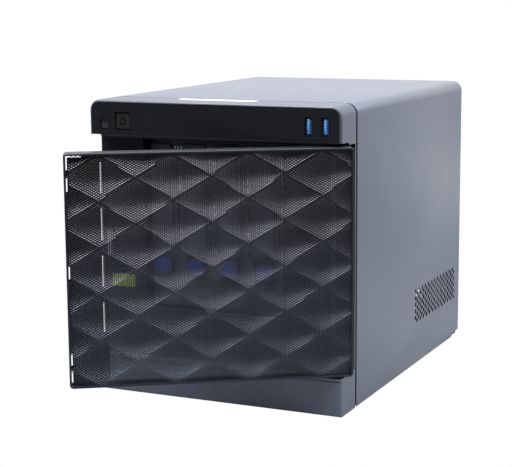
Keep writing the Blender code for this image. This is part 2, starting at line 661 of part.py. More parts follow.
def main():
    clear_scene()
    chassis = make_group("chassis_origin", (0, 0, 0))
    build_outer_cover(chassis)
    build_base_pan(chassis)
    build_front_plate(chassis)
    build_rear_panel(chassis)
    build_front_bezel(chassis)
    build_control_panel(chassis)
    build_light_bar(chassis)
    build_usb_ports(chassis)
    build_front_board(chassis)
    build_hinge_pins(chassis)
    build_door_catch(chassis)
    build_drive_cage(chassis)
    build_backplane(chassis)
    build_motherboard(chassis)
    build_cooler(chassis)
    build_rear_ports(chassis)
    build_power_supply(chassis)
    build_rear_fittings(chassis)
    build_feet(chassis)
    build_door(make_group("door_hinge", (HINGE_X, HINGE_Y, 0), chassis, turn=DOOR_AJAR))
    for name, button in (("power_button", POWER_BUTTON), ("reset_button", RESET_BUTTON)):
        build_button(name, button, make_group(name + "_axis", (button["x"], 0, button["z"]), chassis))
    build_fan(chassis, make_group("fan_axis", (FAN_X, 0, FAN_Z), chassis))
    for number in range(1, BAYS + 1):
        x = BAY_LEFT + (number - 0.5) * BAY_PITCH
        tray = make_group(f"tray_axis_{number}", (x, TRAY_FACE_FRONT, DRIVE_LOW), chassis)
        latch = make_group(f"latch_axis_{number}", (x, TRAY_FACE_FRONT, LATCH_LOW), tray)
        build_tray(number, tray, latch)
    bpy.context.view_layer.update()


main()
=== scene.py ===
"""Looks for the network attached storage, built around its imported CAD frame.

Lengths in the layout are chassis millimetres: X = 0 on the chassis centre plane, Y = 0 on the
bezel's front face, Z = 0 on the floor. at() and on_door() turn them into the row frame's metres.
"""

import json
import math

import bmesh
import bpy
import numpy as np
from mathutils import Matrix, Vector


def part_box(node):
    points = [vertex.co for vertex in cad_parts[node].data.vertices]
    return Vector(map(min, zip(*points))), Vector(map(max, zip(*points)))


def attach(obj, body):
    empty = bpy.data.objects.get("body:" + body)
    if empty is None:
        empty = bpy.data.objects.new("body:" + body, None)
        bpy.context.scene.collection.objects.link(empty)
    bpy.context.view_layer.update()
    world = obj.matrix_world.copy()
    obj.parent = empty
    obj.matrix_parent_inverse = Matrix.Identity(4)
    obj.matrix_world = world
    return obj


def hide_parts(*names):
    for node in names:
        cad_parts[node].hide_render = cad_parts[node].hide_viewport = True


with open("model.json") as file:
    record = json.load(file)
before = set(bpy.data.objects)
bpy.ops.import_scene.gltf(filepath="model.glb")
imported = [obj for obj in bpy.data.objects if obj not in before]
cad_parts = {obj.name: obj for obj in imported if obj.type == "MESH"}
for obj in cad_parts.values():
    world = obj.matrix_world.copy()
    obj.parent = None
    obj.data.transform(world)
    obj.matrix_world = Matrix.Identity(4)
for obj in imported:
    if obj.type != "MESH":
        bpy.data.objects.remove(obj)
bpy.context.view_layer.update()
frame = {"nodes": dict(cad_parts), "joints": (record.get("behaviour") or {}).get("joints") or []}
NODES = frame["nodes"]
METRES = 0.001

# The chassis, as the CAD has it
HALF = 103.25
FOOT_HEIGHT = 3.0
TOP = 230.0
BEZEL_BACK = 28.6
COVER_FRONT = 31.8
COVER_BACK = 287.0
SHEET = 1.2
CORNER_RADIUS = 8.0
RECESS_LOW = 31.8
RECESS_HIGH = 203.4
GAP = 0.3  # clearance between parts

# Its drive bay
BAYS = 4
BAY_LEFT = -65.0
BAY_PITCH = 28.5
TRAY_LOW = 69.0
TRAY_HIGH = 198.0
TRAY_FACE_FRONT = 27.5
LATCH_LOW = 91.0
LATCH_HIGH = 109.0
DRIVE_WIDTH = 26.1

# The door, closed
DOOR_LOW = 33.4
DOOR_HIGH = 200.9
DOOR_HALF = 102.25
DOOR_RIM = 1.6

bezel_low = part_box("front_bezel")[0]  # the bezel's left, front, lower corner in the row frame
SHIFT = Vector((bezel_low.x + HALF * METRES, bezel_low.y, 0.0))
hinge_joint = next(joint for joint in frame["joints"] if joint["name"] == "door_hinge")
HINGE = Vector(hinge_joint["pos_m"])
AJAR = -math.radians(hinge_joint["range_deg"][0])
OPEN_DOOR = Matrix.Translation(HINGE) @ Matrix.Rotation(AJAR, 4, "Z") @ Matrix.Translation(-HINGE)


def at(x, y, z):
    """Chassis millimetres to row-frame metres."""
    return Vector((x, y, z)) * METRES + SHIFT


def on_door(x, y, z):
    """Closed-door millimetres to where that point is with the door ajar."""
    return OPEN_DOOR @ at(x, y, z)


# ---- materials

# Back from here the bezel's seam before the cover is painted in shade.
SEAM = BEZEL_BACK - 0.6
PATCHES = 45.0
NOISE_SPAN = (0.7, 1.3)
GLOSS_SPREAD = 0.05
WORN_EDGE = 0.35
WORN_SHADE = 2.4
PAINTED_LOW_FADE = (0.05, 0.19)  # heights in metres between which a door's low colour, painted light and shade, gives way
RECESS_SPECULAR = 0.15
BUMP_DISTANCE = 0.0002


class Tree:
    """A node tree, with short calls to add nodes and links."""

    def __init__(self, tree):
        self.tree = tree

    def add(self, kind, inputs=None, **settings):
        node = self.tree.nodes.new(kind)
        for key, value in settings.items():
            setattr(node, key, value)
        for key, value in (inputs or {}).items():
            self.feed(node.inputs[key], value)
        return node

    def feed(self, socket, value):
        if isinstance(value, bpy.types.NodeSocket):
            self.tree.links.new(value, socket)
        else:
            socket.default_value = value


class Nodes(Tree):
    """The node tree of a new material for the object."""

    def __init__(self, name):
        self.material = bpy.data.materials.new(name)
        self.material.use_nodes = True
        super().__init__(self.material.node_tree)
        self.shader = self.tree.nodes["Principled BSDF"]
        self.place = self.add("ShaderNodeTexCoord").outputs["Object"]

    def noise(self, scale, detail=3.0, stretch=None):
        place = self.place
        if stretch:
            place = self.add("ShaderNodeMapping", {"Vector": place, "Scale": stretch}).outputs["Vector"]
        inputs = {"Vector": place, "Scale": scale, "Detail": detail}
        return self.add("ShaderNodeTexNoise", inputs).outputs["Fac"]

    def remap(self, value, low, high, out_low, out_high):
        inputs = {"Value": value, "From Min": low, "From Max": high, "To Min": out_low, "To Max": out_high}
        return self.add("ShaderNodeMapRange", inputs).outputs["Result"]

    def mix(self, share, first, second):
        node = self.add("ShaderNodeMix", data_type="RGBA")
        self.feed(node.inputs["Factor"], share)
        self.feed(node.inputs["A"], (*first, 1.0) if isinstance(first, tuple) else first)
        self.feed(node.inputs["B"], (*second, 1.0) if isinstance(second, tuple) else second)
        return node.outputs["Result"]

    def combine(self, operation, one, two):
        return self.add("ShaderNodeMath", {0: one, 1: two}, operation=operation).outputs["Value"]

    def place_along(self, axis):
        return self.add("ShaderNodeSeparateXYZ", {"Vector": self.place}).outputs[axis]

    def edges(self, width):
        """One along the piece's edges, nothing on its flats."""
        soft = self.add("ShaderNodeBevel", {"Radius": width * METRES}, samples=4).outputs["Normal"]
        hard = self.add("ShaderNodeNewGeometry").outputs["Normal"]
        level = self.add("ShaderNodeVectorMath", {0: soft, 1: hard}, operation="DOT_PRODUCT").outputs["Value"]
        return self.remap(level, 0.80, 0.98, 1.0, 0.0)

    def between(self, axis, start, end):
        """Nothing before the first point along an axis, one beyond the second, both in row-frame metres."""
        return self.remap(self.place_along(axis), start, end, 0.0, 1.0)

    def recess_shade_mask(self):
        """One where the bezel gets painted shade, in the door's hollow and the seam; nothing on its outer
        faces.
        """
        seam = self.between("Y", at(0, SEAM, 0).y, at(0, SEAM + 0.2, 0).y)
        deep = self.between("Y", at(0, 6, 0).y, at(0, 10, 0).y)
        over_floor = self.between("Z", at(0, 0, RECESS_LOW + 0.4).z, at(0, 0, RECESS_LOW + 1.0).z)
        under_top = self.between("Z", at(0, 0, RECESS_HIGH + 0.6).z, at(0, 0, RECESS_HIGH + 0.3).z)
        off_left = self.between("X", at(0.1 - HALF, 0, 0).x, at(0.4 - HALF, 0, 0).x)
        off_right = self.between("X", at(HALF - 0.1, 0, 0).x, at(HALF - 0.4, 0, 0).x)
        inside = self.combine("MAXIMUM", deep, over_floor)
        for side in (under_top, off_left, off_right):
            inside = self.combine("MULTIPLY", inside, side)
        return self.combine("MAXIMUM", inside, seam)

    def bump(self, height, strength):
        inputs = {"Height": height, "Strength": strength, "Distance": BUMP_DISTANCE}
        self.feed(self.shader.inputs["Normal"], self.add("ShaderNodeBump", inputs).outputs["Normal"])


def shade(colour, factor):
    return tuple(min(1.0, part * factor) for part in colour)


def finish(name, colour, roughness, metallic=0.0, grain=1400.0, bump=0.12, mottle=0.12, specular=0.5,
           stretch=None, wear=0.0, recess_shade=None, low=None):
    """Moulded or painted stock: mottled colour, uneven gloss, a fine grain and paler rubbed edges.

    recess is painted shade in the bezel's hollow and seam; low, a door's painted light and shade near its
    bottom.
    """
    nodes = Nodes(name)
    patches = nodes.noise(PATCHES)
    fine = nodes.noise(grain, detail=2.0, stretch=stretch)
    both = nodes.combine("ADD", patches, fine)
    share = nodes.remap(both, *NOISE_SPAN, 0.0, 1.0)
    paint = nodes.mix(share, shade(colour, 1 - mottle), shade(colour, 1 + mottle))
    # Towards the bottom the colour fades to the low colour: painted light and shade.
    if low:
        paint = nodes.mix(nodes.between("Z", *PAINTED_LOW_FADE), low, paint)
    if wear:
        rubbed = nodes.combine("MULTIPLY", nodes.edges(WORN_EDGE), share)
        paint = nodes.mix(nodes.remap(rubbed, 0.0, 1.0, 0.0, wear), paint, shade(colour, WORN_SHADE))
    nodes.shader.inputs["Specular IOR Level"].default_value = specular
    # The door's hollow and the seam get painted shade: a darker colour and duller gloss.
    if recess_shade:
        painted_shade = nodes.recess_shade_mask()
        paint = nodes.mix(painted_shade, paint, recess_shade)
        dulled = nodes.remap(painted_shade, 0.0, 1.0, specular, RECESS_SPECULAR)
        nodes.feed(nodes.shader.inputs["Specular IOR Level"], dulled)
    nodes.feed(nodes.shader.inputs["Base Color"], paint)
    uneven = nodes.remap(both, *NOISE_SPAN, roughness - GLOSS_SPREAD, roughness + GLOSS_SPREAD)
    nodes.feed(nodes.shader.inputs["Roughness"], uneven)
    nodes.shader.inputs["Metallic"].default_value = metallic
    nodes.bump(fine, bump)
    return nodes.material


COVER = finish("cover_paint", (0.224, 0.250, 0.320), 0.36, metallic=0.25, grain=900.0, bump=0.05, mottle=0.03,
               wear=0.25)
# Its second, darker colour is painted shade in the hollow round the door and in the seam.
BEZEL = finish("bezel_plastic", (0.108, 0.128, 0.188), 0.30, grain=1600.0, bump=0.02, mottle=0.03, wear=0.15,
               specular=0.75, recess_shade=(0.028, 0.032, 0.040))
RIM = finish("door_plastic", (0.032, 0.037, 0.052), 0.34, grain=1600.0, bump=0.04, mottle=0.06, wear=0.15,
             specular=0.35)
PANEL = finish("panel_black", (0.0155, 0.017, 0.0215), 0.28, grain=700.0, bump=0.01, mottle=0.03,
               stretch=(0.12, 1.0, 1.0), wear=0.2)
BUTTON = finish("button_plastic", (0.034, 0.034, 0.038), 0.36, grain=1600.0, bump=0.08, wear=0.3)
PALE_BUTTON = finish("reset_plastic", (0.060, 0.056, 0.058), 0.36, grain=1600.0, bump=0.08, wear=0.2)
# Black for the printed power symbol, and painted shade for the gap round each button.
INK_AND_GAP_SHADE = finish("symbol_ink_and_gap_shade", (0.002, 0.002, 0.003), 0.90, grain=1600.0, bump=0.05, specular=0.02)
STEEL = finish("plated_steel", (0.55, 0.56, 0.58), 0.32, metallic=1.0, grain=500.0, bump=0.04,
               stretch=(0.1, 1, 1))
DARK_STEEL = finish("dark_steel", (0.05, 0.055, 0.065), 0.34, metallic=0.8, grain=700.0, bump=0.05)
BLACK_STEEL = finish("black_steel", (0.022, 0.023, 0.027), 0.42, grain=1100.0, bump=0.10, wear=0.2)
# Near the bottom the paint turns paler and bluer, a painted reflection of the floor, and the lips darker,
# painted shade.
MESH_PAINT = finish("mesh_paint", (0.015, 0.017, 0.025), 0.40, grain=1500.0, bump=0.03, mottle=0.08,
                    low=(0.070, 0.085, 0.125))
# A lighter metal for each hole's lower lip: a painted highlight.
MESH_LIP_HIGHLIGHT = finish("mesh_lip_painted_highlight", (0.37, 0.36, 0.41), 0.35, metallic=1.0, grain=1500.0, bump=0.03, mottle=0.08,
                  low=(0.14, 0.165, 0.215))
BLUE = finish("usb_blue", (0.10, 0.36, 0.95), 0.28, grain=1800.0, bump=0.05)
# Paler and darker copies of the port blue: painted highlight and painted shade.
BLUE_HIGHLIGHT = finish("usb_blue_painted_highlight", (0.26, 0.60, 1.0), 0.28, grain=1800.0, bump=0.05, specular=0.2)
BLUE_SHADE = finish("usb_blue_painted_shade", (0.010, 0.090, 0.50), 0.35, grain=1800.0, bump=0.05)
BOARD = finish("circuit_board", (0.018, 0.075, 0.045), 0.40, grain=2200.0, bump=0.10, mottle=0.2)
TRAY = finish("tray_plastic", (0.100, 0.113, 0.150), 0.40, grain=1500.0, bump=0.10, wear=0.2)
TRAY_DARK = finish("tray_dark", (0.018, 0.019, 0.022), 0.45, grain=1500.0, bump=0.10)
# A lighter copy of the tray plastic for the ribs: a painted highlight of their edges.
TRAY_RIB_HIGHLIGHT = finish("tray_rib_painted_highlight", (0.15, 0.16, 0.20), 0.30, grain=1500.0, bump=0.02)
LATCH = finish("latch_blue", (0.040, 0.075, 0.42), 0.32, grain=1500.0, bump=0.05, wear=0.2)
DRIVE = finish("drive_metal", (0.52, 0.53, 0.55), 0.34, metallic=1.0, grain=600.0, bump=0.05,
               stretch=(1, 0.1, 1))
BLACK_PLASTIC = finish("black_plastic", (0.014, 0.014, 0.016), 0.48, grain=1300.0, bump=0.12, wear=0.2)
ALUMINIUM = finish("aluminium", (0.74, 0.75, 0.77), 0.30, metallic=1.0, grain=500.0, bump=0.04,
                   stretch=(1, 0.08, 1))
COPPER = finish("contact_gold", (0.72, 0.50, 0.18), 0.28, metallic=1.0, grain=900.0, bump=0.03)
RUBBER = finish("rubber", (0.02, 0.02, 0.02), 0.80, grain=1200.0, bump=0.3)
STICKER = finish("sticker", (0.36, 0.46, 0.05), 0.55, grain=900.0, bump=0.03, mottle=0.05)
LABEL = finish("drive_label", (0.70, 0.71, 0.70), 0.55, grain=900.0, bump=0.03, mottle=0.04)
THREAD = finish("net_thread", (0.008, 0.008, 0.009), 0.80, grain=1800.0, bump=0.2)


def light_pipe(name, glow):
    """Milky plastic with a cloudy body, lit from behind."""
    nodes = Nodes(name)
    cloud = nodes.noise(220.0)
    nodes.feed(nodes.shader.inputs["Base Color"], nodes.mix(cloud, (0.86, 0.89, 0.93), (0.95, 0.96, 0.98)))
    nodes.shader.inputs["Roughness"].default_value = 0.25
    nodes.shader.inputs["Emission Color"].default_value = (0.93, 0.97, 1.0, 1.0)
    nodes.shader.inputs["Emission Strength"].default_value = glow
    return nodes.material


LIGHT_PIPE = light_pipe("light_pipe", 0.55)
# Not a lamp: a faint glow near the top of each tray rib, a painted highlight.
RIB_GLOW = light_pipe("rib_glow_painted_highlight", 0.10)


# ---- pieces

SMOOTH = 35.0
SOFTENED = 50.0


def round_edges(piece, width, angle):
    """A bevel on the edges that turn by more than an angle in degrees."""
    edge = piece.modifiers.new("soft_edges", "BEVEL")
    edge.width = width * METRES
    edge.segments = 2
    edge.limit_method = "ANGLE"
    edge.angle_limit = math.radians(angle)
    return edge


def dress(node, material, bevel=0.0):
    """Gives a CAD node its material and, if asked, slightly rounded edges."""
    piece = NODES[node]
    piece.data.materials.clear()
    piece.data.materials.append(material)
    if bevel:
        round_edges(piece, bevel, SMOOTH).harden_normals = True


def shade_smooth(mesh, angle=SMOOTH):
    mesh.shade_smooth()
    mesh.set_sharp_from_angle(angle=math.radians(angle))


def make_piece(name, shape, material, body, stands_for=(), smooth=SMOOTH):
    """A bmesh or a (vertices, faces) pair, already in row-frame metres, as a piece that rides on a body."""
    mesh = bpy.data.meshes.new(name)
    if isinstance(shape, bmesh.types.BMesh):
        bmesh.ops.recalc_face_normals(shape, faces=shape.faces)
        shape.to_mesh(mesh)
        shape.free()
    else:
        mesh.from_pydata(shape[0], [], shape[1])
    mesh.materials.append(material)
    shade_smooth(mesh, smooth)
    piece = bpy.data.objects.new(name, mesh)
    bpy.context.scene.collection.objects.link(piece)
    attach(piece, body)
    if stands_for:
        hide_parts(*stands_for)
    return piece


def bake(piece):
    """Replaces a piece's mesh with what its modifiers make of it."""
    graph = bpy.context.evaluated_depsgraph_get()
    mesh = bpy.data.meshes.new_from_object(piece.evaluated_get(graph))
    piece.modifiers.clear()
    piece.data = mesh


def carve(piece, tool):
    """Cuts a bmesh out of a piece for good."""
    mesh = bpy.data.meshes.new("tool")
    bmesh.ops.recalc_face_normals(tool, faces=tool.faces)
    tool.to_mesh(mesh)
    tool.free()
    cutter = bpy.data.objects.new("tool", mesh)
    bpy.context.scene.collection.objects.link(cutter)
    step = piece.modifiers.new("carve", "BOOLEAN")
    step.operation = "DIFFERENCE"
    step.solver = "EXACT"
    step.object = cutter
    bake(piece)
    bpy.data.objects.remove(cutter, do_unlink=True)
    shade_smooth(piece.data)


def soften(piece, width):
    """Rounds a new piece's sharp edges for good."""
    round_edges(piece, width, SOFTENED)
    bake(piece)
    shade_smooth(piece.data, SOFTENED)


def prism(outline, axis, low, high, place=at):
    """Extrudes a closed outline along an axis. Its points hold the other two axes, in XYZ order."""
    shape = bmesh.new()
    order = {"x": (2, 0, 1), "y": (0, 2, 1), "z": (0, 1, 2)}[axis]
    rings = []
    for depth in (low, high):
        ring = []
        for u, v in outline:
            point = (u, v, depth)
            ring.append(shape.verts.new(place(*[point[i] for i in order])))
        rings.append(ring)
    shape.faces.new(rings[0])
    shape.faces.new(list(reversed(rings[1])))
    count = len(outline)
    for i in range(count):
        shape.faces.new((rings[0][i], rings[0][(i + 1) % count], rings[1][(i + 1) % count], rings[1][i]))
    bmesh.ops.recalc_face_normals(shape, faces=shape.faces)
    return shape


def block(x, y, z, place=at):
    """A box between a pair of places along each axis."""
    return prism([(x[0], z[0]), (x[1], z[0]), (x[1], z[1]), (x[0], z[1])], "y", *y, place=place)


def arc(centre, radius, start, end, steps):
    """Points along an arc between two angles in degrees."""
    points = []
    for step in range(steps + 1):
        angle = math.radians(start + (end - start) * step / steps)
        points.append((centre[0] + radius * math.cos(angle), centre[1] + radius * math.sin(angle)))
    return points


def circle(centre, radius, steps=16):
    return arc(centre, radius, 0, 360, steps)[:-1]


def rounded(low, high, radius, steps=4):
    """A rectangle's outline with all four corners rounded."""
    (x0, z0), (x1, z1) = low, high
    points = arc((x1 - radius, z0 + radius), radius, -90, 0, steps)
    points += arc((x1 - radius, z1 - radius), radius, 0, 90, steps)
    points += arc((x0 + radius, z1 - radius), radius, 90, 180, steps)
    points += arc((x0 + radius, z0 + radius), radius, 180, 270, steps)
    return points


def arch(half, low, high, radius, steps=10):
    """A rectangle's outline with rounded top corners."""
    right = arc((half - radius, high - radius), radius, 0, 90, steps)
    left = arc((radius - half, high - radius), radius, 90, 180, steps)
    return [(-half, low), (half, low)] + right + left


def merge(shapes):
    """Many bmeshes as one."""
    whole = bmesh.new()
    for shape in shapes:
        holder = bpy.data.meshes.new("holder")
        shape.to_mesh(holder)
        shape.free()
        whole.from_mesh(holder)
        bpy.data.meshes.remove(holder)
    return whole


# ---- the cover, with its vents

STEP_FRONT = 266.0
STEP_BACK = 269.5
STEP_HIGH = 6.0
VENT_FRONT = 166.8
VENT_STEP = 4.16
VENT_COLUMNS = 26
VENT_ROWS = 5
VENT_TOP = 64.4
VENT_PITCH = 5.6
VENT_RADIUS = 2.0
VENT_SHEET = 0.22
BOARD_TOP = 12.2


def vent_tools(side):
    """A staggered block of round holes low at the back of one side."""
    low, high = sorted((side * (HALF - 4), side * (HALF + 2)))
    tools = []
    for column in range(VENT_COLUMNS):
        y = VENT_FRONT + column * VENT_STEP
        for row in range(VENT_ROWS):
            z = VENT_TOP - row * VENT_PITCH - (column % 2) * VENT_PITCH / 2
            tools.append(prism(circle((y, z), VENT_RADIUS, 12), "x", low, high))
    return merge(tools)


def build_cover():
    """A bent sheet over the chassis, raised at its lower back corners and thinned where it has vents."""
    outside = arch(HALF, FOOT_HEIGHT, TOP, CORNER_RADIUS)
    inside = arch(HALF - SHEET, FOOT_HEIGHT, TOP - SHEET, CORNER_RADIUS - SHEET)
    outline = outside[1:] + [outside[0]] + [inside[0]] + inside[:1:-1] + [inside[1]]
    sheet = prism(outline, "y", COVER_FRONT, COVER_BACK)
    cover = make_piece("case_cover", sheet, COVER, "chassis", ["outer_cover"])
    step = [(STEP_FRONT, 0), (STEP_BACK, STEP_HIGH), (COVER_BACK + 5, STEP_HIGH), (COVER_BACK + 5, 0)]
    carve(cover, prism(step, "x", -HALF - 5, HALF + 5))
    soften(cover, 0.45)
    for side in (-1, 1):
        thinned = sorted((side * (HALF - 3), side * (HALF - VENT_SHEET)))
        along = (VENT_FRONT - 3, VENT_FRONT + VENT_COLUMNS * VENT_STEP - 1)
        carve(cover, block(thinned, along, (VENT_TOP - VENT_ROWS * VENT_PITCH, VENT_TOP + 3)))
        carve(cover, vent_tools(side))


def build_behind_vents():
    """What shows through the vents: a steel bracket and some board parts."""
    bracket_high = (16.0, 74.0)
    bracket = [block((97.2 - SHEET, 97.2), (222.0, 270.0), bracket_high),
               block((90.0, 97.2), (222.0, 222.0 + SHEET), bracket_high)]
    make_piece("board_bracket", merge(bracket), DARK_STEEL, "chassis")
    coils = [block((84.0, 92.0), (y, y + 9.0), (BOARD_TOP, 26.0)) for y in (176.0, 188.0, 200.0)]
    make_piece("board_coils", merge(coils), COPPER, "chassis")


# ---- the embossed, perforated door

STAGGER = math.sqrt(3) / 2
HOLE_PITCH = 1.73
COLUMN_PITCH = HOLE_PITCH * STAGGER
COLUMN_START = -77.1
HOLE_SHARE = 0.64
LIP_SLOPE = math.radians(26)
LOWER_SIDE = 4
RIDGE = 0.028
KEY_STRIDE = 1000003
MESH_FRONT = 1.0
MESH_THICKNESS = 0.7
EMBOSS_DEPTH = 2.3
EMBOSS_LEAN = 1.9
EMBOSS_HALF_X = 26.5
EMBOSS_HALF_Z = 16.6
OPENING = (DOOR_HALF - DOOR_RIM, DOOR_LOW + DOOR_RIM, DOOR_HIGH - DOOR_RIM)
TUCK = 0.35
CLIP_SLOTS = [(173.5, 183.1), (111.4, 120.7), (48.8, 57.5), (35.6, 45.1)]
CLIP_RIGHT = -99.7
CORNER_SLOT = (-89.5, 188.8, 197.5)


def lattice(x, z):
    """Where a point lies between the two sets of ridges, from 0 on one ridge to 1 on the next."""
    across = x / EMBOSS_HALF_X
    up = (z - (DOOR_LOW + DOOR_HIGH) / 2) / EMBOSS_HALF_Z
    one = (across + up) / 2
    two = (across - up) / 2
    return one - np.floor(one), two - np.floor(two)


def emboss(x, z):
    """Depth of the pressed diamonds: a dish between sharp ridges, its deepest point off its middle."""
    one, two = lattice(x, z)
    deepest = EMBOSS_LEAN / (1 + EMBOSS_LEAN)
    across = two ** EMBOSS_LEAN * (1 - two) / (deepest ** EMBOSS_LEAN * (1 - deepest))
    return EMBOSS_DEPTH * 4 * one * (1 - one) * across


def cell_centres(z_low, z_high):
    """Centres of the hexagonal cells, without those over the slots along the free edge."""
    reach = OPENING[0] + TUCK
    columns = np.arange(math.ceil((-reach - COLUMN_START) / COLUMN_PITCH),
                        math.floor((reach - COLUMN_START) / COLUMN_PITCH) + 1)
    centres = []
    for column in columns:
        offset = (column % 2) * HOLE_PITCH / 2
        rows = np.arange(math.ceil((z_low - offset) / HOLE_PITCH), math.ceil((z_high - offset) / HOLE_PITCH))
        centres.append(np.stack([np.full(len(rows), COLUMN_START + column * COLUMN_PITCH),
                                 rows * HOLE_PITCH + offset], 1))
    centres = np.concatenate(centres)
    x, z = centres[:, 0], centres[:, 1]
    edge_column = x < CLIP_RIGHT + 0.2
    dropped = edge_column & (z > CORNER_SLOT[1])
    dropped |= (x < CORNER_SLOT[0]) & (z > OPENING[2] - 0.9)
    for low, high in CLIP_SLOTS:
        dropped |= edge_column & (z > low) & (z < high)
    return centres[~dropped]


def perforated_sheet(z_low, z_high):
    """Hexagonal cells whose front slopes in to a hexagonal hole. Behind, the web narrows to an edge.

    Corners that cells share are matched to a hundredth of a millimetre. Also says which faces get the
    painted highlight, the lower lips. Cells on a ridge get none, which leaves dark lines of painted shade.
    """
    radius = HOLE_PITCH / math.sqrt(3)
    centres = cell_centres(z_low, z_high)
    angles = np.radians(np.arange(6) * 60.0)
    ring = np.stack([np.cos(angles), np.sin(angles)], 1) * radius
    corners = centres[:, None] + ring
    keys = np.round(corners.reshape(-1, 2) * 100).astype(np.int64)
    _, first, shared = np.unique(keys[:, 0] * KEY_STRIDE + keys[:, 1], return_index=True, return_inverse=True)
    outer = corners.reshape(-1, 2)[first]
    shared = shared.reshape(-1, 6)
    holes = (centres[:, None] + ring * HOLE_SHARE).reshape(-1, 2)
    count = len(outer)
    flat = np.concatenate([outer, outer, holes])
    depth = MESH_FRONT + emboss(flat[:, 0], flat[:, 1])
    depth[count:2 * count] += MESH_THICKNESS
    depth[2 * count:] += HOLE_PITCH / 2 * (1 - HOLE_SHARE) * math.tan(LIP_SLOPE)
    matrix = np.array(OPEN_DOOR)
    points = np.stack([flat[:, 0], depth, flat[:, 1]], 1) * METRES + np.array(SHIFT)
    points = points @ matrix[:3, :3].T + matrix[:3, 3]
    faces = []
    inner = np.arange(len(holes)).reshape(-1, 6) + 2 * count
    for i in range(6):
        j = (i + 1) % 6
        faces.append(np.stack([shared[:, i], shared[:, j], inner[:, j], inner[:, i]], 1))
        faces.append(np.stack([shared[:, j] + count, shared[:, i] + count, inner[:, i], inner[:, j]], 1))
    edges = np.concatenate([np.stack([shared[:, i], shared[:, (i + 1) % 6]], 1) for i in range(6)])
    _, where, uses = np.unique(np.sort(edges, 1), axis=0, return_index=True, return_counts=True)
    rim = edges[where[uses == 1]]
    faces.append(np.stack([rim[:, 1], rim[:, 0], rim[:, 0] + count, rim[:, 1] + count], 1))
    one, two = lattice(centres[:, 0], centres[:, 1])
    dished = (np.abs(one - 0.5) < 0.5 - RIDGE) & (np.abs(two - 0.5) < 0.5 - RIDGE)
    # Each hole's lower lip gets the painted highlight, except on the ridges, which are left as painted shade.
    bright = np.zeros(sum(len(group) for group in faces), dtype=np.int32)
    start = 2 * LOWER_SIDE * len(centres)
    bright[start:start + len(centres)] = dished
    return points.tolist(), np.concatenate(faces).tolist(), bright


def build_door_mesh():
    """The sheet in two halves. Lower lips get a lighter metal, a painted highlight; the rest is painted."""
    low = OPENING[1] - TUCK
    high = OPENING[2] + TUCK
    middle = (low + high) / 2
    for name, z_low, z_high in (("door_mesh_lower", low, middle), ("door_mesh_upper", middle, high)):
        points, faces, bright = perforated_sheet(z_low, z_high)
        piece = make_piece(name, (points, faces), MESH_PAINT, "door", ["door_mesh"], smooth=12)
        piece.data.materials.append(MESH_LIP_HIGHLIGHT)
        piece.data.polygons.foreach_set("material_index", bright)


STILE_DEPTH = (6.0, 7.4)
RIB_DEPTH = (7.2, 9.2)
SLIT = (-77.0, -75.9)
SLIT_SEGMENTS = [(172.2, 193.8), (138.3, 161.6), (104.9, 127.7), (72.4, 94.1)]


def build_door_stile():
    """The plate behind the mesh's free edge, notched for its clips and with slits beside the filter."""
    left = -OPENING[0]
    right = SLIT[1] + 1.2
    outline = [(left, OPENING[1]), (right, OPENING[1]), (right, OPENING[2]), (CORNER_SLOT[0], OPENING[2]),
               (CORNER_SLOT[0], CORNER_SLOT[2]), (CLIP_RIGHT, CORNER_SLOT[2]), (CLIP_RIGHT, CORNER_SLOT[1]),
               (left, CORNER_SLOT[1])]
    for low, high in CLIP_SLOTS:
        outline += [(left, high), (CLIP_RIGHT, high), (CLIP_RIGHT, low), (left, low)]
    plate = prism(outline, "y", *STILE_DEPTH, place=on_door)
    stile = make_piece("door_stile_plate", plate, BLACK_PLASTIC, "door", ["door_stile"])
    windows = [block(SLIT, (0, 12), (low, high), place=on_door) for low, high in SLIT_SEGMENTS]
    carve(stile, merge(windows))
    soften(stile, 0.15)
    uprights = [(-96.5, 40.0, 100.0), (-96.5, 134.0, 185.0), (-81.0, 40.0, 190.0)]
    ribs = [block((x, x + 1.0), RIB_DEPTH, (low, high), place=on_door) for x, low, high in uprights]
    for z in (40.0, 96.0, 138.0, 184.0):
        ribs.append(block((-96.0, -80.5), (RIB_DEPTH[0], RIB_DEPTH[1] - 0.2), (z, z + 1.0), place=on_door))
    make_piece("door_stile_ribs", merge(ribs), RIM, "door", ["door_stile"])


FILTER_DEPTH = (6.0, 6.6)
FILTER_RIGHT = 91.3
FILTER_BORDER = 1.4
NET_PITCH = 0.62
NET_THREAD = 0.083
NET_TUCK = 0.5
NET_DEPTHS = (6.18, 6.30, 6.42)


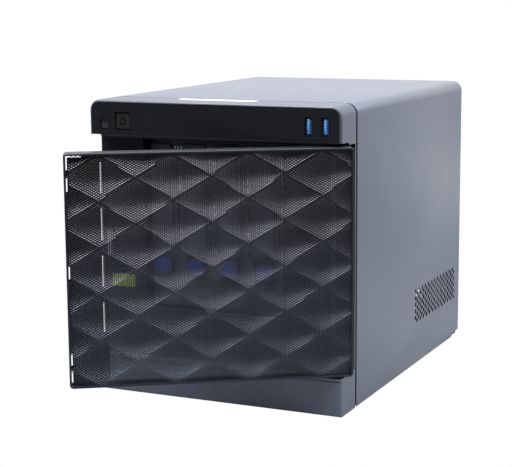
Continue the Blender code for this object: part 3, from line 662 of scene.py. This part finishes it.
def build_door_filter():
    """A net in a thin frame. The upright threads lie behind the level ones."""
    left, right = SLIT[1] + 1.0, FILTER_RIGHT
    low, high = OPENING[1] + GAP, OPENING[2] - GAP
    bars = [block(x, FILTER_DEPTH, z, place=on_door) for x, z in (
        ((left, right), (low, low + FILTER_BORDER)),
        ((left, right), (high - FILTER_BORDER, high)),
        ((left, left + FILTER_BORDER), (low, high)),
        ((right - FILTER_BORDER, right), (low, high)),
    )]
    make_piece("door_filter_frame", merge(bars), BLACK_PLASTIC, "door", ["door_filter"])
    vertices = []
    faces = []

    def thread(x, y, z):
        base = len(vertices)
        for corner in ((x[0], y[0], z[0]), (x[1], y[0], z[0]), (x[1], y[1], z[0]), (x[0], y[1], z[0]),
                       (x[0], y[0], z[1]), (x[1], y[0], z[1]), (x[1], y[1], z[1]), (x[0], y[1], z[1])):
            vertices.append(on_door(*corner))
        for face in ((3, 2, 1, 0), (4, 5, 6, 7), (0, 1, 5, 4), (1, 2, 6, 5), (2, 3, 7, 6), (3, 0, 4, 7)):
            faces.append([base + i for i in face])

    for step in range(int((right - left - FILTER_BORDER) / NET_PITCH)):
        x = left + FILTER_BORDER + step * NET_PITCH
        thread((x, x + NET_THREAD), NET_DEPTHS[1:], (low + NET_TUCK, high - NET_TUCK))
    for step in range(int((high - low - FILTER_BORDER) / NET_PITCH)):
        z = low + FILTER_BORDER + step * NET_PITCH
        thread((left + NET_TUCK, right - NET_TUCK), NET_DEPTHS[:2], (z, z + NET_THREAD))
    make_piece("door_filter_net", (vertices, faces), THREAD, "door", ["door_filter"])


# ---- small things on the front

POWER_BUTTON = (-74.65, 214.2, 5.9)
RESET_BUTTON = (-90.55, 211.1, 3.0)
SHADE_RING_GAP = 0.32
SHADE_RING_DEPTH = (-0.05, 0.2)
SYMBOL_DEPTH = (0.60, 0.85)
USB_PORTS = [(77.9, 214.8), (90.9, 214.8)]


def ring(centre, inner, outer, start, end, steps=20):
    """The outline of a flat ring with a gap."""
    return arc(centre, outer, start, end, steps) + arc(centre, inner, end, start, steps)


def square_ring(x, z, inner, outer, depth):
    """A flat square frame, as one closed body."""
    shape = bmesh.new()
    rows = []
    for half, y in ((inner, depth[0]), (outer, depth[0]), (outer, depth[1]), (inner, depth[1])):
        outline = rounded((x - half, z - half), (x + half, z + half), 0.6, 3)
        rows.append([shape.verts.new(at(u, y, v)) for u, v in outline])
    for row in range(4):
        for step in range(len(rows[0])):
            following = (step + 1) % len(rows[0])
            shape.faces.new((rows[row][step], rows[row][following],
                             rows[(row + 1) % 4][following], rows[(row + 1) % 4][step]))
    return shape


LATCH_PAD = ((2.6, 16.8), (94.7, 106.6))
PAD_ROUND = 1.5
PAD_CHAMFER = 3.2
PAD_DEPTH = (24.0, 25.2)
LEVER_SPAN = (1.6, 17.6)
LEVER_DEPTH = (24.9, 31.0)
TRAY_RIBS = (0.3, 20.2, 22.9, 25.6)
TRAY_RIB_DEPTH = (TRAY_FACE_FRONT - 0.9, TRAY_FACE_FRONT + 0.1)
TRAY_RIB_HIGH = [(LATCH_HIGH + 2, TRAY_HIGH - 0.6), (TRAY_LOW + 0.6, LATCH_LOW - 2)]
TRAY_GLOW_DEPTH = (TRAY_FACE_FRONT - 1.3, TRAY_FACE_FRONT - 0.3)
TRAY_GLOW_HIGH = (191.9, 193.5)
DRIVE_CHIPS = [(110.0, 100.0, 14.0, 14.0), (134.0, 118.0, 10.0, 16.0), (112.0, 146.0, 18.0, 8.0)]


def build_latch(number, left):
    """A blue pad with one corner cut off, on a dark lever."""
    body = f"latch_{number}"
    (x0, x1), (z0, z1) = LATCH_PAD
    x0 += left
    x1 += left
    outline = arc((x1 - PAD_ROUND, z0 + PAD_ROUND), PAD_ROUND, -90, 0, 4)
    outline += arc((x1 - PAD_ROUND, z1 - PAD_ROUND), PAD_ROUND, 0, 90, 4)
    outline += [(x0 + PAD_CHAMFER, z1), (x0, z1 - PAD_CHAMFER)]
    outline += arc((x0 + PAD_ROUND, z0 + PAD_ROUND), PAD_ROUND, 180, 270, 4)
    shape = prism(outline, "y", *PAD_DEPTH)
    stands_for = [f"tray_latch_{number}"]
    pad = make_piece(f"latch_pad_{number}", shape, LATCH, body, stands_for)
    soften(pad, 0.35)
    outline = rounded((left + LEVER_SPAN[0], LATCH_LOW), (left + LEVER_SPAN[1], LATCH_HIGH), 1.0, 3)
    shape = prism(outline, "y", *LEVER_DEPTH)
    lever = make_piece(f"latch_lever_{number}", shape, TRAY_DARK, body, stands_for)
    soften(lever, 0.3)


def build_drive_faces(number, left):
    """What a drive shows when its tray is drawn out: a label on one side, a circuit board on the other."""
    middle = left + BAY_PITCH / 2 - GAP
    near = middle - DRIVE_WIDTH / 2
    far = middle + DRIVE_WIDTH / 2
    label = prism(rounded((44.0, 86.0), (150.0, 172.0), 3.0, 3), "x", near - 0.15, near + 0.1)
    make_piece(f"drive_label_{number}", label, LABEL, f"tray_{number}")
    board = [block((far - 0.1, far + 0.2), (90.0, 180.0), (84.0, 174.0))]
    for y, z, length, height in DRIVE_CHIPS:
        board.append(block((far + 0.15, far + 0.5), (y, y + length), (z, z + height)))
    make_piece(f"drive_board_{number}", merge(board), BOARD, f"tray_{number}")


def build_trays():
    """The latches, the drives' sides, and the tray fronts' ribs and glowing spots: painted highlights."""
    for number in range(1, BAYS + 1):
        body = f"tray_{number}"
        left = BAY_LEFT + BAY_PITCH * (number - 1) + GAP
        build_latch(number, left)
        widths = [(left + x, left + x + 0.6) for x in TRAY_RIBS]
        # Ribs in the lighter tray colour: a painted highlight.
        ribs = [block(width, TRAY_RIB_DEPTH, high) for high in TRAY_RIB_HIGH for width in widths]
        make_piece(f"tray_ribs_{number}", merge(ribs), TRAY_RIB_HIGHLIGHT, body)
        # Glowing spots near the ribs' tops: a painted highlight.
        tips = [block((left + x, left + x + 0.5), TRAY_GLOW_DEPTH, TRAY_GLOW_HIGH) for x in TRAY_RIBS]
        make_piece(f"tray_rib_glow_highlights_{number}", merge(tips), RIB_GLOW, body)
        build_drive_faces(number, left)


def build_buttons():
    """A dark line round each button, painted shade for its gap, and the power symbol."""
    # A dark frame over each button's gap: painted shade.
    for name, button, width in (("power_gap_shade", POWER_BUTTON, 0.4), ("reset_gap_shade", RESET_BUTTON, 0.2)):
        x, z, half = button
        inner = half + SHADE_RING_GAP
        line = square_ring(x, z, inner, inner + width, SHADE_RING_DEPTH)
        make_piece(name, line, INK_AND_GAP_SHADE, "chassis")
    x, z, half = POWER_BUTTON
    symbol = [prism(ring((x, z - 0.3), 2.1, 2.75, 122, 418), "y", *SYMBOL_DEPTH),
              block((x - 0.33, x + 0.33), SYMBOL_DEPTH, (z - 0.1, z + 3.2))]
    make_piece("power_symbol", merge(symbol), INK_AND_GAP_SHADE, "power_key")


def build_usb_front():
    """Each upright port's deep blue floor, painted shade, its tongue's pale face, painted highlight,
    and the nubs beside that.
    """
    for number, (x, z) in enumerate(USB_PORTS, start=1):
        floor = prism(rounded((x - 2.3, z - 6.2), (x + 2.3, z + 6.2), 0.8, 3), "y", 1.6, 2.3)
        make_piece(f"usb_backing_{number}", floor, BLUE_SHADE, "chassis")
        left, right = x - 1.0, x + 0.6
        low, high = z - 4.6, z + 5.2
        outline = [(left, low), (x - 0.2, low - 0.8), (right, low), (right, high), (left, high)]
        stripe = prism(outline, "y", 0.5, 1.7)
        face = make_piece(f"usb_tongue_face_{number}", stripe, BLUE_HIGHLIGHT, "chassis")
        soften(face, 0.15)
        nubs = []
        for step in range(5):
            base = z - 4.9 + step * 2.1
            nubs.append(block((x + 1.1, x + 1.75), (0.7, 1.7), (base, base + 1.0)))
        make_piece(f"usb_contacts_{number}", merge(nubs), BLUE, "chassis")


def build_sticker():
    patch = prism(rounded((-96.0, 82.5), (-76.0, 92.5), 0.8, 3), "y", 16.12, 16.35)
    make_piece("bay_sticker", patch, STICKER, "chassis")


# ---- the back

FAN = (-9.0, 130.0)
FAN_SCREWS = 52.5
FAN_RINGS = (12.9, 26.9, 41.4, 56.2)
FAN_BAR = 49.9
FAN_EYE = 3.9
GUARD_WIRE = 0.9  # its radius
RING_Y = 287.1
BAR_Y = 286.8
POWER_FAN = (75.6, 200.0)
POWER_FAN_RINGS = (5.2, 10.4, 15.6)
POWER_FAN_BAR = 12.445
POWER_FAN_WIRE = 0.5
POWER_RING_Y = 284.95
POWER_BAR_Y = 284.75
BLADES = 7
BLADE_SECTIONS = [(6.0, 0.42, 3.6), (11.5, 0.33, 3.0), (17.2, 0.30, 2.4)]
BLADE_MIDDLE = 276.0
BLADE_TWIST = 0.02
HEAD_PROFILE = [(1.0, 0.0), (1.0, 0.35), (0.9, 0.68), (0.7, 0.9), (0.42, 1.0)]
HEAD_SIDES = 20
PANEL_BACK = 285.8
POWER_BACK = 284.15
POWER_SCREWS = [(60.4, 221.6), (91.0, 221.6), (60.4, 177.0), (91.0, 177.0)]
THROUGH = (280.0, 290.0)
ROW_SHARE = 0.866  # row pitch over hole pitch in a staggered field
ETHERNET = (30.0, 50.0)
LINER_HALF = (5.3, 5.85)
LINER_LOW = 14.25
LINER_HIGH = 22.85
LINER_DEPTH = (273.0, 286.2)
USB_STACK = 4.0
DISPLAY = -26.0


def wire(path, y, thickness, closed=False):
    """A round wire bent in a plane parallel to the back. Its thickness is its radius."""
    sides = 8
    shape = bmesh.new()
    count = len(path)
    rows = []
    for i, (x, z) in enumerate(path):
        before = path[i - 1] if closed or i else path[i]
        after = path[(i + 1) % count] if closed or i < count - 1 else path[i]
        run = Vector((after[0] - before[0], after[1] - before[1])).normalized()
        row = []
        for step in range(sides):
            angle = 2 * math.pi * step / sides
            out = thickness * math.cos(angle)
            row.append(shape.verts.new(at(x - run.y * out, y + thickness * math.sin(angle), z + run.x * out)))
        rows.append(row)
    for one, two in zip(rows, rows[1:] + (rows[:1] if closed else [])):
        for step in range(sides):
            following = (step + 1) % sides
            shape.faces.new((one[step], one[following], two[following], two[step]))
    if not closed:
        shape.faces.new(rows[0])
        shape.faces.new(list(reversed(rows[-1])))
    return shape


def wire_ring(centre, radius, y, thickness, steps):
    return wire(circle(centre, radius, steps), y, thickness, closed=True)


def corners(centre, reach):
    """The four corners of a square."""
    return [(centre[0] + across * reach, centre[1] + up * reach) for across in (-1, 1) for up in (-1, 1)]


def crossed_bars(centre, reach, y, thickness, turns):
    """Two straight wires that cross at a centre. The turns say which slants up first."""
    bars = []
    for up in turns:
        ends = [(centre[0] - reach, centre[1] - up * reach), (centre[0] + reach, centre[1] + up * reach)]
        bars.append(wire(ends, y, thickness))
    return bars


def build_fan_guards():
    """Welded wire rings on two crossed bars. The fan's own guard has eyes for its screws."""
    wires = [wire_ring(FAN, radius, RING_Y, GUARD_WIRE, 48) for radius in FAN_RINGS]
    wires += crossed_bars(FAN, FAN_BAR, BAR_Y, GUARD_WIRE, (-1, 1))
    wires += [wire_ring(eye, FAN_EYE, BAR_Y, GUARD_WIRE, 20) for eye in corners(FAN, FAN_SCREWS)]
    make_piece("fan_guard", merge(wires), STEEL, "chassis", ["fan_grille"])
    wires = [wire_ring(POWER_FAN, radius, POWER_RING_Y, POWER_FAN_WIRE, 32) for radius in POWER_FAN_RINGS]
    wires += crossed_bars(POWER_FAN, POWER_FAN_BAR, POWER_BAR_Y, POWER_FAN_WIRE, (1, -1))
    make_piece("power_fan_guard", merge(wires), STEEL, "chassis")


def build_power_fan():
    """The little fan inside the power supply, which is a sealed unit."""
    shapes = [prism(circle(POWER_FAN, 6.9, 24), "y", 268.4, 282.3)]
    for number in range(BLADES):
        turn = math.radians(360 * number / BLADES)
        shape = bmesh.new()
        sections = []
        for radius, half_angle, rise in BLADE_SECTIONS:
            row = []
            for side in (-1, 1):
                angle = turn + radius * BLADE_TWIST + side * half_angle
                x = POWER_FAN[0] + radius * math.cos(angle)
                z = POWER_FAN[1] + radius * math.sin(angle)
                for face in (-1, 1):
                    row.append(shape.verts.new(at(x, BLADE_MIDDLE + side * rise + face * 0.4, z)))
            sections.append([row[0], row[1], row[3], row[2]])
        for inner, outer in zip(sections, sections[1:]):
            for i in range(4):
                shape.faces.new((inner[i], inner[(i + 1) % 4], outer[(i + 1) % 4], outer[i]))
        shape.faces.new(sections[0])
        shape.faces.new(list(reversed(sections[-1])))
        bmesh.ops.recalc_face_normals(shape, faces=shape.faces)
        shapes.append(shape)
    make_piece("power_fan", merge(shapes), BLACK_PLASTIC, "chassis")


def screw_head(x, z, y, radius, height):
    """A domed head, flat underneath."""
    shape = bmesh.new()
    rows = []
    for share, rise in HEAD_PROFILE:
        outline = circle((x, z), radius * share, HEAD_SIDES)
        rows.append([shape.verts.new(at(u, y + rise * height, v)) for u, v in outline])
    for one, two in zip(rows, rows[1:]):
        for step in range(HEAD_SIDES):
            following = (step + 1) % HEAD_SIDES
            shape.faces.new((one[step], one[following], two[following], two[step]))
    shape.faces.new(rows[0])
    shape.faces.new(list(reversed(rows[-1])))
    return shape


def build_rear_screws():
    """The fan's four screws and the power supply's four, with crossed slots."""
    places = [(x, z, PANEL_BACK + 0.05, 3.3, 2.4) for x, z in corners(FAN, FAN_SCREWS)]
    places += [(x, z, POWER_BACK, 2.4, 1.6) for x, z in POWER_SCREWS]
    heads = []
    crosses = []
    for x, z, y, radius, height in places:
        heads.append(screw_head(x, z, y, radius, height))
        long, short = radius * 0.52, radius * 0.13
        depth = (y + height * 0.45, y + height + 2)
        crosses.append(block((x - long, x + long), depth, (z - short, z + short)))
        crosses.append(block((x - short, x + short), depth, (z - long, z + long)))
    screws = make_piece("rear_screws", merge(heads), STEEL, "chassis")
    for cross in (crosses[0::2], crosses[1::2]):
        carve(screws, merge(cross))


def copy_node(node, name, material):
    """A new piece with a CAD node's own shape, so that it can be cut further."""
    piece = bpy.data.objects.new(name, NODES[node].data.copy())
    bpy.context.scene.collection.objects.link(piece)
    piece.data.materials.clear()
    piece.data.materials.append(material)
    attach(piece, "chassis")
    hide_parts(node)
    return piece


def hole_field(x, z, pitch, radius):
    """Staggered round holes between two corners, through a rear sheet."""
    row_pitch = pitch * ROW_SHARE
    tools = []
    for row in range(int((z[1] - z[0]) / row_pitch) + 1):
        shift = (row % 2) * pitch / 2
        for column in range(int((x[1] - x[0] - shift) / pitch) + 1):
            centre = (x[0] + shift + column * pitch, z[0] + row * row_pitch)
            tools.append(prism(circle(centre, radius, 10), "y", *THROUGH))
    return merge(tools)


def build_rear_sheets():
    """The rear panel, the connector shield and the slot cover, with the holes that the CAD leaves out."""
    panel = copy_node("rear_panel", "rear_panel_sheet", BLACK_STEEL)
    carve(panel, hole_field((-88.0, 46.0), (200.0, 217.0), 5.2, 1.9))
    carve(panel, hole_field((60.0, 90.0), (70.0, 134.0), 5.2, 1.9))
    panel.data.shade_flat()
    shield = copy_node("io_shield", "io_shield_plate", STEEL)
    carve(shield, hole_field((-60.0, 76.0), (35.0, 50.0), 4.6, 1.5))
    slot = copy_node("slot_cover", "slot_cover_plate", STEEL)
    carve(slot, hole_field((-93.4, -86.0), (18.0, 74.0), 4.4, 1.4))
    beads = [block((-69.6, 84.4), (284.1, 284.7), (z, z + 0.9)) for z in (31.2, 52.4)]
    make_piece("io_shield_beads", merge(beads), STEEL, "chassis")


def build_ethernet(number, x):
    """A network socket's black lining, its eight contacts and its two lights."""
    high = (LINER_LOW, LINER_HIGH)
    inner, outer = LINER_HALF
    liner = [block((x - outer, x - inner), LINER_DEPTH, high),
             block((x + inner, x + outer), LINER_DEPTH, high),
             block((x - outer, x + outer), LINER_DEPTH, (LINER_HIGH - outer + inner, LINER_HIGH)),
             block((x - outer, x + outer), (272.1, 272.8), high)]
    make_piece(f"ethernet_liner_{number}", merge(liner), BLACK_PLASTIC, "chassis")
    contacts = []
    for step in range(8):
        left = x - 3.9 + step * 1.02
        contacts.append(block((left, left + 0.4), (274.0, 284.0), (20.9, 21.4)))
    make_piece(f"ethernet_contacts_{number}", merge(contacts), COPPER, "chassis")
    lights = [block((x + low, x + low + 2.4), (286.3, 286.55), (23.6, 25.2)) for low in (-6.6, 4.2)]
    make_piece(f"ethernet_lights_{number}", merge(lights), LIGHT_PIPE, "chassis")


def build_rear_sockets():
    """What the sockets at the back have inside."""
    for number, x in enumerate(ETHERNET, start=1):
        build_ethernet(number, x)
    across = (USB_STACK - 5.7, USB_STACK + 5.7)
    tongues = [block(across, (272.0, 285.0), (low, low + 2.0)) for low in (16.3, 24.3)]
    make_piece("rear_usb_tongues", merge(tongues), BLUE, "chassis")
    tongue = block((DISPLAY - 5.9, DISPLAY + 5.9), (274.1, 284.9), (15.1, 16.4))
    soften(make_piece("display_port_tongue", tongue, BLACK_PLASTIC, "chassis"), 0.2)
    pins = [block((x - 1.1, x + 1.1), (270.1, 284.1), (z - 2.1, z + 2.1))
            for x, z in ((69.0, 160.0), (76.0, 163.0), (83.0, 160.0))]
    soften(make_piece("inlet_pins", merge(pins), STEEL, "chassis"), 0.3)


PLAIN_NODES = {
    "base_pan": BLACK_STEEL, "front_plate": BLACK_STEEL, "drive_cage": BLACK_STEEL, "rear_usb_ports": STEEL,
    "display_port": STEEL, "power_supply": STEEL, "door_magnet": STEEL, "door_catch": STEEL,
    "hinge_pin_top": DARK_STEEL, "hinge_pin_bottom": DARK_STEEL, "motherboard": BOARD, "memory_module": BOARD,
    "backplane": BOARD, "front_io_board": BOARD, "cpu_cooler": ALUMINIUM, "fan_frame": BLACK_PLASTIC,
    "fan_rotor": BLACK_PLASTIC, "mains_inlet": BLACK_PLASTIC, "light_bar": LIGHT_PIPE,
    "power_button": BUTTON, "reset_button": PALE_BUTTON,
}
NUMBERED_NODES = [("bay_divider", 3, BLACK_STEEL), ("cover_screw", 3, STEEL), ("ethernet_port", 2, STEEL),
                  ("usb_port", 2, DARK_STEEL), ("usb_tongue", 2, BLUE), ("foot", 4, RUBBER),
                  ("hard_drive", BAYS, DRIVE)]


def dress_nodes():
    """Materials for the CAD pieces that show as they are."""
    for node, material in PLAIN_NODES.items():
        dress(node, material)
    for name, count, material in NUMBERED_NODES:
        for number in range(1, count + 1):
            dress(f"{name}_{number}", material)
    for number in range(1, BAYS + 1):
        dress(f"drive_tray_{number}", TRAY, bevel=0.3)
    dress("front_bezel", BEZEL, bevel=0.35)
    dress("door_frame", RIM, bevel=0.3)
    dress("control_panel", PANEL, bevel=0.15)


# ---- stage, lights and camera

FLOOR_REACH = 8.0
FLOOR_TINT = (0.90, 0.95, 1.0)
FLOOR_TONES = [(-1.6, 0.22), (-1.1, 0.18), (-0.85, 0.035), (-0.42, 0.035), (-0.30, 0.36), (0.10, 0.56),
               (0.35, 0.33), (0.65, 0.28), (0.95, 0.56), (1.40, 0.92)]


def show_to_camera(tree, lighting, seen):
    """One shader for lighting the object and another for the camera."""
    to_camera = tree.add("ShaderNodeLightPath").outputs["Is Camera Ray"]
    return tree.add("ShaderNodeMixShader", {"Fac": to_camera, 1: lighting, 2: seen}).outputs["Shader"]


def floor_material():
    """White to the camera. To the object, a pattern of tones along Y."""
    material = bpy.data.materials.new("floor_white")
    material.use_nodes = True
    tree = Tree(material.node_tree)
    tree.tree.nodes.clear()
    place = tree.add("ShaderNodeTexCoord").outputs["Object"]
    along = tree.add("ShaderNodeSeparateXYZ", {"Vector": place}).outputs["Y"]
    start, end = FLOOR_TONES[0][0], FLOOR_TONES[-1][0]
    reach = tree.add("ShaderNodeMapRange", {"Value": along, "From Min": start, "From Max": end})
    paleness = tree.add("ShaderNodeValToRGB", {"Fac": reach.outputs["Result"]})
    ramp = paleness.color_ramp
    for number, (y, tone) in enumerate(FLOOR_TONES):
        share = (y - start) / (end - start)
        stop = ramp.elements[number] if number < 1 else ramp.elements.new(share)
        stop.position = share
        stop.color = (*shade(FLOOR_TINT, tone), 1.0)
    paper = tree.add("ShaderNodeBsdfDiffuse", {"Color": paleness.outputs["Color"]}).outputs["BSDF"]
    glow = tree.add("ShaderNodeEmission", {"Strength": 1.0}).outputs["Emission"]
    tree.add("ShaderNodeOutputMaterial", {"Surface": show_to_camera(tree, paper, glow)})
    return material


def stage():
    """A floor that lights the object more from its sides than its front."""
    mesh = bpy.data.meshes.new("floor")
    square = [(x * FLOOR_REACH, y * FLOOR_REACH, 0) for x, y in ((-1, -1), (1, -1), (1, 1), (-1, 1))]
    mesh.from_pydata(square, [], [(0, 1, 2, 3)])
    mesh.materials.append(floor_material())
    floor = bpy.data.objects.new("floor", mesh)
    bpy.context.scene.collection.objects.link(floor)
    floor.location.z = -0.0002


def sky():
    """White to the camera. To the object, bright behind it and dim in front."""
    world = bpy.data.worlds.new("studio")
    bpy.context.scene.world = world
    world.use_nodes = True
    tree = Tree(world.node_tree)
    tree.tree.nodes.clear()
    place = tree.add("ShaderNodeTexCoord").outputs["Generated"]
    along = tree.add("ShaderNodeSeparateXYZ", {"Vector": place}).outputs["Y"]
    inputs = {"Value": along, "From Min": -0.5, "From Max": 0.6, "To Min": 0.06, "To Max": 0.90}
    strength = tree.add("ShaderNodeMapRange", inputs).outputs["Result"]
    lighting = tree.add("ShaderNodeBackground", {"Color": (1.0, 0.995, 0.985, 1.0), "Strength": strength})
    seen = tree.add("ShaderNodeBackground", {"Color": (1.0, 1.0, 1.0, 1.0), "Strength": 1.0})
    surface = show_to_camera(tree, lighting.outputs["Background"], seen.outputs["Background"])
    tree.add("ShaderNodeOutputWorld", {"Surface": surface})


SOFTBOXES = [
    ("overhead", (0.0, -0.1, 1.5), (0, -0.05, 0.1), (1.6, 1.8), 36.0, (1.0, 0.985, 0.955)),
    ("right_side", (1.5, 1.0, 1.5), (0, 0.1, 0.2), (1.0, 1.0), 12.0, (1.0, 1.0, 1.0)),
    ("left_high", (-0.55, -0.6, 1.3), (0, -0.1, 0.15), (0.8, 0.8), 8.0, (0.97, 0.98, 1.0)),
]


def softbox(name, place, target, size, power, colour):
    """A flat lamp that faces a target."""
    lamp = bpy.data.lights.new(name, "AREA")
    lamp.shape = "RECTANGLE"
    lamp.size, lamp.size_y = size
    lamp.energy = power
    lamp.color = colour
    holder = bpy.data.objects.new(name, lamp)
    bpy.context.scene.collection.objects.link(holder)
    holder.location = place
    holder.rotation_euler = (Vector(target) - Vector(place)).to_track_quat("-Z", "Y").to_euler()


CAMERA_PLACE = (474.2, -936.6, 312.9)
CAMERA_AZIMUTH = 25.07
CAMERA_ELEVATION = 9.757
CAMERA_ROLL = -0.453
CAMERA_LENS = 100.68


def camera():
    """A camera aimed by three angles, at a place in chassis millimetres."""
    azimuth, elevation, roll = map(math.radians, (CAMERA_AZIMUTH, CAMERA_ELEVATION, CAMERA_ROLL))
    back = Vector((math.sin(azimuth) * math.cos(elevation), -math.cos(azimuth) * math.cos(elevation),
                   math.sin(elevation)))
    right = Vector((math.cos(azimuth), math.sin(azimuth), 0.0))
    up = back.cross(right)
    turned_right = right * math.cos(roll) + up * math.sin(roll)
    turned_up = up * math.cos(roll) - right * math.sin(roll)
    data = bpy.data.cameras.new("camera")
    data.lens = CAMERA_LENS
    data.sensor_width = 36.0
    data.clip_start = 0.05
    data.clip_end = 50.0
    holder = bpy.data.objects.new("camera", data)
    bpy.context.scene.collection.objects.link(holder)
    turn = Matrix((turned_right, turned_up, back)).transposed().to_4x4()
    holder.matrix_world = Matrix.Translation(at(*CAMERA_PLACE)) @ turn
    bpy.context.scene.camera = holder


def main():
    dress_nodes()
    build_cover()
    build_door_mesh()
    build_door_stile()
    build_door_filter()
    build_buttons()
    build_usb_front()
    build_sticker()
    build_trays()
    build_behind_vents()
    build_fan_guards()
    build_power_fan()
    build_rear_screws()
    build_rear_sheets()
    build_rear_sockets()
    stage()
    sky()
    for box in SOFTBOXES:
        softbox(*box)
    camera()
    bpy.context.scene.view_settings.view_transform = "Standard"


main()
